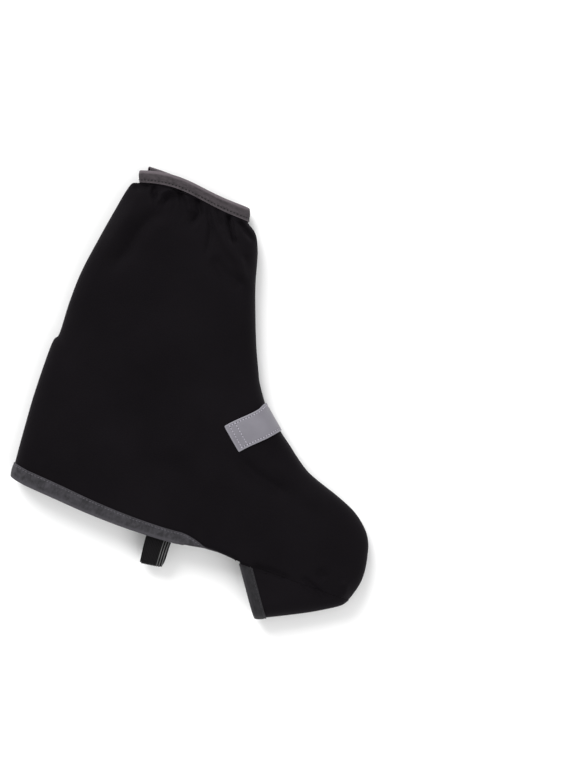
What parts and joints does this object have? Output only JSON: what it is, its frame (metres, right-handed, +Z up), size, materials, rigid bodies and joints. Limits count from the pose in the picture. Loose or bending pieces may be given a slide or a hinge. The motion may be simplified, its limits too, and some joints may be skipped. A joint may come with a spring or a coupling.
{
  "type": "boot gaiter",
  "caption": "Softshell boot gaiter of a left foot lying flat on its outer side, with bound edges, open toe sole, instep strap, under-sole elastic and back opening.",
  "frame": {"origin": "on the floor under the middle of the gaiter's box", "axes": "+X towards the toe, +Y towards the leg opening, +Z up from the outer side that it lies on to the inner side"},
  "size_m": [0.3126, 0.3272, 0.0266],
  "materials": {
    "softshell": "black softshell, fine matt knit face with a soft nap",
    "binding": "dark grey elastic knit binding with dark stitches",
    "reflective": "silver-grey reflective tape with a fine bead grain",
    "hook_loop": "black loop pile",
    "elastic": "black ribbed elastic webbing with paler ribs"
  },
  "bodies": {
    "root": {"medial_panel": "softshell", "lateral_panel": "softshell", "toe_sole_panel": "softshell", "top_binding": "binding", "hem_binding": "binding", "toe_hem_binding": "binding", "instep_strap": "reflective", "strap_loop_patch": "hook_loop", "strap_hook_tab": "hook_loop", "back_closure_tape": "hook_loop", "sole_loop": "elastic"}
  },
  "joints": []
}
